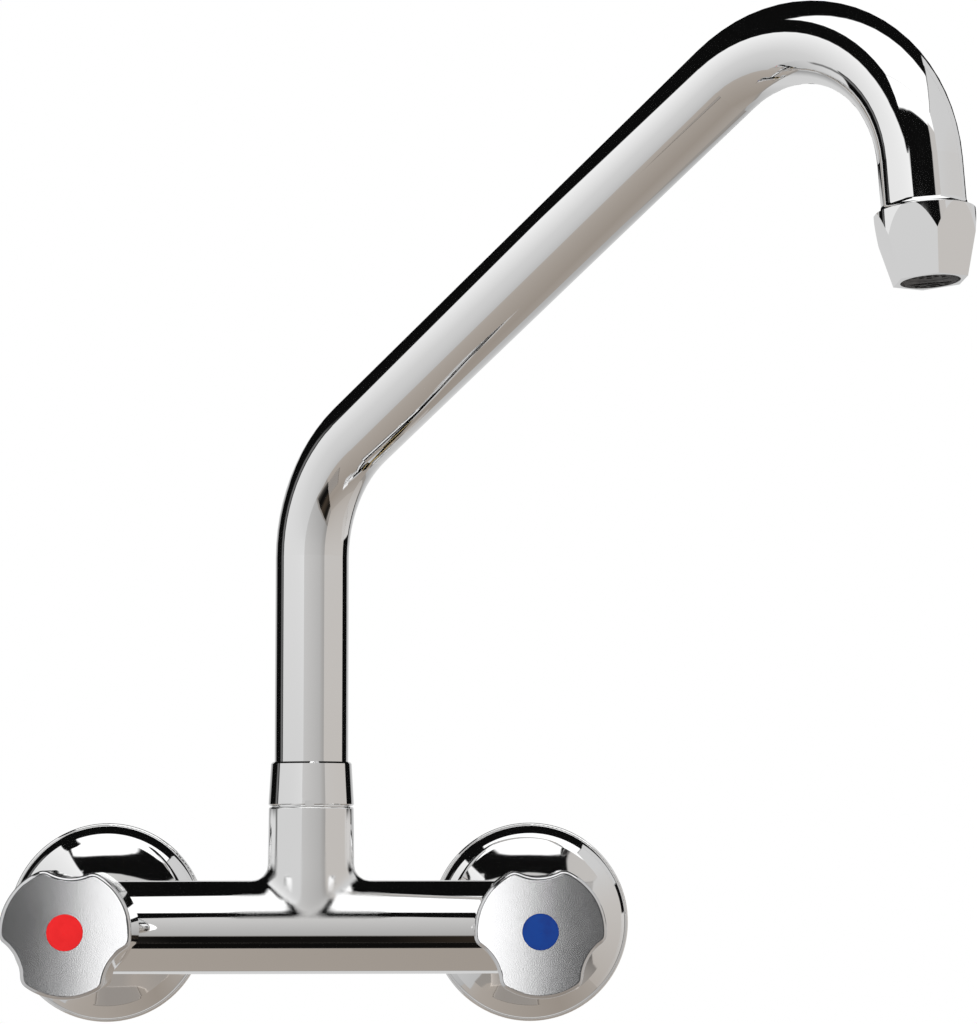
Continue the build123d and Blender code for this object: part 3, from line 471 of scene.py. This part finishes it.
@dataclass(frozen=True)
class StudioCard:
    """A flat card that only the metal sees, with a colour that changes along it and soft edges.

    The stops run along the card's first side, and lift gives the strength at the low and the high end
    of its second side. The nodes in unseen_by see the card black.
    """

    name: str
    centre: Point
    size: Band
    facing: Facing
    stops: Sequence[tuple[float, Colour]]
    strength: float = 1.0
    soft: float = 0.02
    lift: Band = (1.0, 1.0)
    unseen_by: Sequence[str] = ()

    def make(self) -> bpy.types.Object:
        """Build the card and its glow.

        Returns:
            The card.
        """
        turns = {
            Facing.ACROSS: Matrix.Rotation(math.radians(90), 3, "Y"),
            Facing.ALONG: Matrix.Rotation(math.radians(90), 3, "X"),
            Facing.LEVEL: Matrix.Identity(3),
        }
        bpy.ops.object.select_all(action="DESELECT")
        bpy.ops.mesh.primitive_plane_add(size=1.0)
        card = bpy.context.active_object
        card.name = self.name
        width, height = self.size
        turn = turns[self.facing]
        for corner in card.data.vertices:
            corner.co = turn @ Vector((corner.co.x * width, corner.co.y * height, 0.0)) + Vector(self.centre)
        card.data.materials.append(self.glow())
        card.visible_camera = False
        card.visible_diffuse = False
        card.visible_transmission = False
        card.visible_volume_scatter = False
        card.visible_shadow = False
        if self.unseen_by:
            self.hide_from(card)
        return card

    def hide_from(self, card: bpy.types.Object) -> None:
        """Keep the card's light from some nodes, which see it black.

        Args:
            card: the card's object.
        """
        hidden = bpy.data.collections.new(f"{self.name}_unseen")
        for node in self.unseen_by:
            hidden.objects.link(frame["nodes"][node])
        card.light_linking.receiver_collection = hidden
        for row in hidden.collection_objects:
            row.light_linking.link_state = "EXCLUDE"

    def glow(self) -> bpy.types.Material:
        """The card's light, faded out at its edges."""
        material, shader = new_material(self.name)
        parts = shader.split(shader.object_place())
        axes = {Facing.ACROSS: (2, 1), Facing.ALONG: (0, 2), Facing.LEVEL: (0, 1)}[self.facing]
        shares = []
        cover: object = 1.0
        for axis, length in zip(axes, self.size):
            low = self.centre[axis] - length / 2
            distance = shader.maths("SUBTRACT", parts[axis], low)
            shares.append(shader.maths("DIVIDE", distance, length))
            edge = shader.ease(distance, 0.0, self.soft)
            far_edge = shader.ease(shader.maths("SUBTRACT", length, distance), 0.0, self.soft)
            cover = shader.maths("MULTIPLY", cover, shader.maths("MULTIPLY", edge, far_edge))
        first, second = shares
        low_end, high_end = (self.strength * share for share in self.lift)
        strength = shader.maths("MULTIPLY_ADD", second, high_end - low_end, low_end)
        light = shader.node("Emission", Color=shader.ramp(first, self.stops), Strength=strength)
        clear = shader.node("BsdfTransparent")
        finish_surface(shader, shader.mix(cover, clear.outputs[0], light.outputs[0]))
        material.cycles.emission_sampling = "NONE"
        return material


def grey(level: float, warmth: float = 0.0) -> Colour:
    """A grey as it looks on the screen, from 0 to 255, made warmer or cooler.

    Args:
        level: the screen value.
        warmth: how many screen values red gains and blue loses.

    Returns:
        The scene-linear colour.
    """
    def linear(value: float) -> float:
        part = max(value, 0.0) / 255
        return part / 12.92 if part <= 0.04045 else ((part + 0.055) / 1.055) ** 2.4

    return linear(level + warmth), linear(level), linear(level - warmth)


@dataclass(frozen=True)
class LightPanel:
    """A rectangular lamp. With nodes it lights and is mirrored by these alone, without it lights all.

    The tilt is in degrees: 0 shines down, 90 towards the wall and 180 up.
    """

    name: str
    centre: Point
    size: Band
    tilt: float
    brightness: float
    nodes: Sequence[str] = ()
    colour: Colour = (1.0, 1.0, 1.0)

    def make(self) -> bpy.types.Object:
        """Build the lamp.

        Returns:
            The lamp's object.
        """
        width, height = self.size
        lamp = bpy.data.lights.new(self.name, "AREA")
        lamp.shape = "RECTANGLE"
        lamp.size = width
        lamp.size_y = height
        lamp.energy = self.brightness * math.pi * width * height
        lamp.color = self.colour
        stand = bpy.data.objects.new(self.name, lamp)
        bpy.context.scene.collection.objects.link(stand)
        stand.location = self.centre
        stand.rotation_euler = (math.radians(self.tilt), 0.0, 0.0)
        stand.visible_camera = False
        stand.visible_glossy = bool(self.nodes)
        if self.nodes:
            lit = bpy.data.collections.new(f"{self.name}_lit")
            for node in self.nodes:
                lit.objects.link(frame["nodes"][node])
            stand.light_linking.receiver_collection = lit
        return stand


@dataclass
class Studio:
    """White light tent with dark gaps, a pale floor, soft lamps and the photograph's camera."""

    floor_height: float = -0.32
    floor_reach: float = 20.0
    floor_fade: Band = (0.7, 1.8)
    floor_tone: Band = (0.93, 0.96)
    daylight: float = 0.92
    tent_gap: Band = (-0.50, -0.15)
    tent_top: float = 1.15
    tent_floor: float = -0.80
    left_wall: float = -0.43
    right_wall: float = 0.90
    front_wall: float = -1.12
    camera_place: Point = (0.044296, -1.16518, 0.036894)
    camera_pitch: float = 0.1006
    camera_yaw: float = 0.0139
    focal_pixels: float = 3249.589
    long_side: float = 1024.0
    sensor: float = 36.0

    def build(self) -> None:
        """Set up the light, the floor and the camera."""
        bpy.context.scene.view_settings.view_transform = "Standard"
        self.build_world()
        self.build_floor()
        for piece in (*self.panels(), *self.cards()):
            piece.make()
        self.build_camera()
        LOG.info("Studio: floor, %d cards, %d lamps and camera", len(self.cards()), len(self.panels()))

    def build_world(self) -> None:
        """White for the camera, even daylight for matt surfaces, a dim tent gap for the metal."""
        world = bpy.data.worlds.new("studio_world")
        bpy.context.scene.world = world
        world.use_nodes = True
        shader = Shader(world.node_tree)
        height = shader.split(shader.node("TexCoord").outputs["Generated"])[2]
        gap = shader.ramp(shader.ease(height, *self.tent_gap), [(0.0, grey(150, 5)), (1.0, grey(12))])
        rays = shader.node("LightPath").outputs
        seen = shader.maths("MAXIMUM", rays["Is Camera Ray"], rays["Is Transmission Ray"])
        open_light = shader.node("Background", Color=(1.0, 1.0, 1.0, 1.0), Strength=self.daylight)
        metal_light = shader.node("Background", Color=gap, Strength=1.0)
        white = shader.node("Background", Color=(1.0, 1.0, 1.0, 1.0), Strength=1.0)
        lit = shader.mix(rays["Is Glossy Ray"], open_light.outputs[0], metal_light.outputs[0])
        shown = shader.mix(seen, lit, white.outputs[0])
        shader.node("OutputWorld", Surface=shown)

    def build_floor(self) -> None:
        """A wide pale floor, which turns into the white background far from the mixer."""
        bpy.ops.object.select_all(action="DESELECT")
        bpy.ops.mesh.primitive_circle_add(
            vertices=96, radius=self.floor_reach, fill_type="NGON", location=(0.0, 0.0, self.floor_height)
        )
        floor = bpy.context.active_object
        floor.name = "studio_floor"
        material, shader = new_material("studio_floor")
        place = shader.object_place()
        across, along, _ = shader.split(place)
        level = shader.node("CombineXYZ", X=across, Y=along).outputs[0]
        reach = shader.node("VectorMath", OPERATION="LENGTH", Vector=level)
        far = shader.ease(reach.outputs["Value"], *self.floor_fade)
        dull, bright = ((tone, tone, tone) for tone in self.floor_tone)
        speckle = shader.ramp(shader.noise(place, 40.0, 3.0), [(0.3, dull), (0.7, bright)])
        matt = shader.node("BsdfDiffuse", Color=speckle)
        white = shader.node("Emission", Color=(1.0, 1.0, 1.0, 1.0), Strength=1.0)
        finish_surface(shader, shader.mix(far, matt.outputs[0], white.outputs[0]))
        material.cycles.emission_sampling = "NONE"
        floor.data.materials.append(material)
        floor.visible_glossy = False

    def panels(self) -> tuple[LightPanel, ...]:
        """The lamps: a large soft one overhead, and four that light some of the metal alone."""
        knobs = ("hot_knob", "cold_knob")
        low_metal = (*knobs, "rosette_left", "rosette_right")
        beige = (1.0, 0.92, 0.85)
        front, floor = self.front_wall, self.tent_floor
        return (
            LightPanel("overhead_softbox", (0.10, -0.70, 1.30), (1.40, 1.00), tilt=22.0, brightness=1.3642),
            LightPanel(
                "face_strip", (-0.040, front + 0.010, -0.02), (0.276, 0.50), tilt=90.0, brightness=1.42,
                nodes=knobs,
            ),
            LightPanel(
                "face_fill", (0.10, front + 0.012, 0.05), (2.60, 0.86), tilt=90.0, brightness=0.09,
                nodes=knobs,
            ),
            LightPanel(
                "front_fill", (0.15, front + 0.030, -0.64), (1.04, 0.50), tilt=90.0, brightness=0.36,
                nodes=low_metal, colour=beige,
            ),
            LightPanel(
                "floor_fill", (-0.05, -0.88, floor + 0.015), (0.45, 0.41), tilt=180.0, brightness=0.32,
                nodes=(*low_metal, "spout_tube"), colour=beige,
            ),
        )

    def cards(self) -> tuple[StudioCard, ...]:
        """The cards of the tent."""
        return (
            *self.top_cards(), *self.left_cards(), *self.front_cards(), *self.right_cards(),
            *self.low_cards(),
        )

    def top_cards(self) -> tuple[StudioCard, ...]:
        """The white top, with its turned-down front edge."""
        white = ((0.0, grey(255)), (1.0, grey(255)))
        return (
            StudioCard(
                "tent_top", (0.15, -0.66, self.tent_top), (1.60, 0.98), Facing.LEVEL, white,
                strength=1.2, soft=0.04,
            ),
            StudioCard(
                "tent_top_front", (0.15, self.front_wall, 0.975), (1.60, 0.35), Facing.ALONG, white,
                strength=1.2,
            ),
        )

    def left_cards(self) -> tuple[StudioCard, ...]:
        """The bright board on the left, with its dim rear edge and a board further back."""
        return (
            StudioCard(
                "tent_left", (self.left_wall, -0.55, -0.05), (1.10, 1.10), Facing.ACROSS,
                ((0.0, grey(192)), (0.6, grey(217)), (0.95, grey(248)), (1.0, grey(255))),
            ),
            StudioCard(
                "tent_left_edge", (self.left_wall, 0.05, 0.14), (0.44, 0.11), Facing.ACROSS,
                ((0.0, grey(120)), (1.0, grey(110))), soft=0.05,
            ),
            StudioCard(
                "tent_left_rear", (-0.72, 0.40, -0.365), (0.87, 1.00), Facing.ACROSS,
                ((0.0, grey(180)), (0.7, grey(212)), (1.0, grey(226))),
            ),
        )

    def front_cards(self) -> tuple[StudioCard, ...]:
        """The wide front, its two shoulders and the dark place under the camera."""
        front = self.front_wall
        return (
            StudioCard(
                "tent_front", (0.10, front, 0.05), (2.60, 0.86), Facing.ALONG,
                ((0.0, grey(212)), (0.40, grey(197, 1)), (0.55, grey(190, 1)), (0.66, grey(184, 1)),
                 (0.76, grey(168, 2)), (0.82, grey(166, 2)), (1.0, grey(198, 4))),
                lift=(0.80, 1.16), unseen_by=("hot_knob", "cold_knob"),
            ),
            StudioCard(
                "front_left_shoulder", (-0.87, front + 0.001, 0.52), (0.84, 0.13), Facing.ALONG,
                ((0.0, grey(214)), (1.0, grey(206))),
            ),
            StudioCard(
                "front_right_shoulder", (1.02, front + 0.001, 0.66), (0.92, 0.42), Facing.ALONG,
                ((0.0, grey(196, 3)), (1.0, grey(200, 4))), soft=0.04,
            ),
            StudioCard(
                "dark_under_camera", (0.15, front + 0.020, -0.64), (1.04, 0.50), Facing.ALONG,
                ((0.0, grey(112, 4)), (0.10, grey(52, 3)), (0.22, grey(14, 1)), (0.36, grey(20, 2)),
                 (0.50, grey(58, 9)), (0.64, grey(48, 7)), (0.80, grey(18, 2)), (0.93, grey(40, 4)),
                 (1.0, grey(110, 6))), soft=0.015,
            ),
        )

    def right_cards(self) -> tuple[StudioCard, ...]:
        """The board on the right, and two behind it with a dark gap between them."""
        right = self.right_wall
        return (
            StudioCard(
                "tent_right", (right, -0.3975, 0.15), (1.90, 1.455), Facing.ACROSS,
                ((0.0, grey(176, 7)), (0.5, grey(198, 4)), (0.75, grey(212)), (1.0, grey(214))),
            ),
            StudioCard(
                "tent_right_rear", (right, 0.54, -0.365), (0.87, 0.74), Facing.ACROSS,
                ((0.0, grey(178, 6)), (0.7, grey(200, 3)), (1.0, grey(214, 2))),
            ),
            StudioCard(
                "tent_right_rear_top", (right, 0.54, 0.72), (0.80, 0.74), Facing.ACROSS,
                ((0.0, grey(206)), (1.0, grey(214))),
            ),
        )

    def low_cards(self) -> tuple[StudioCard, ...]:
        """The beige floor with a dark place near the camera, and the back behind the mixer."""
        floor = self.tent_floor
        return (
            StudioCard(
                "tent_floor", (0.15, -0.20, floor), (2.40, 1.90), Facing.LEVEL,
                ((0.0, grey(190, 3)), (0.25, grey(168, 8)), (0.6, grey(150, 9)), (1.0, grey(178, 6))),
            ),
            StudioCard(
                "dark_on_floor", (-0.05, -0.88, floor + 0.010), (0.50, 0.46), Facing.LEVEL,
                ((0.0, grey(50, 3)), (0.25, grey(13, 1)), (0.7, grey(15, 1)), (1.0, grey(34, 5))),
                soft=0.04,
            ),
            StudioCard(
                "tent_back", (0.0, 0.90, -0.20), (1.50, 1.30), Facing.ALONG,
                ((0.0, grey(150)), (0.35, grey(215)), (0.65, grey(215)), (1.0, grey(170))),
            ),
        )

    def build_camera(self) -> None:
        """The camera of the photograph, level with the knobs and looking slightly up."""
        lens = bpy.data.cameras.new("photo_camera")
        lens.sensor_fit = "AUTO"
        lens.sensor_width = self.sensor
        lens.lens = self.focal_pixels * self.sensor / self.long_side
        lens.clip_end = 100.0
        camera = bpy.data.objects.new("photo_camera", lens)
        bpy.context.scene.collection.objects.link(camera)
        pitch, yaw = self.camera_pitch, self.camera_yaw
        ahead = Vector((math.sin(yaw), math.cos(yaw) * math.cos(pitch), math.cos(yaw) * math.sin(pitch)))
        right = Vector((math.cos(yaw), -math.sin(yaw) * math.cos(pitch), -math.sin(yaw) * math.sin(pitch)))
        up = right.cross(ahead)
        turn = Matrix((right, up, -ahead)).transposed().to_4x4()
        camera.matrix_world = Matrix.Translation(self.camera_place) @ turn
        bpy.context.scene.camera = camera


def main() -> None:
    """Dress the mixer, piece by piece, and set up the studio."""
    logging.basicConfig(level=logging.INFO, format="%(name)s: %(message)s")
    materials = finish_cabinet()
    groups: list[SubAssembly] = [Body("fixed_body", materials), Spout("spout", materials)]
    for side in Side:
        groups.append(WallConnection("fixed_body", materials, side=side))
        groups.append(ValveSet("fixed_body", materials, side=side))
    groups.append(Handle("hot_handle", materials, temperature="hot"))
    groups.append(Handle("cold_handle", materials, temperature="cold"))
    for group in groups:
        group.build()
        group.report()
    Studio().build()


if __name__ == "__main__":
    main()
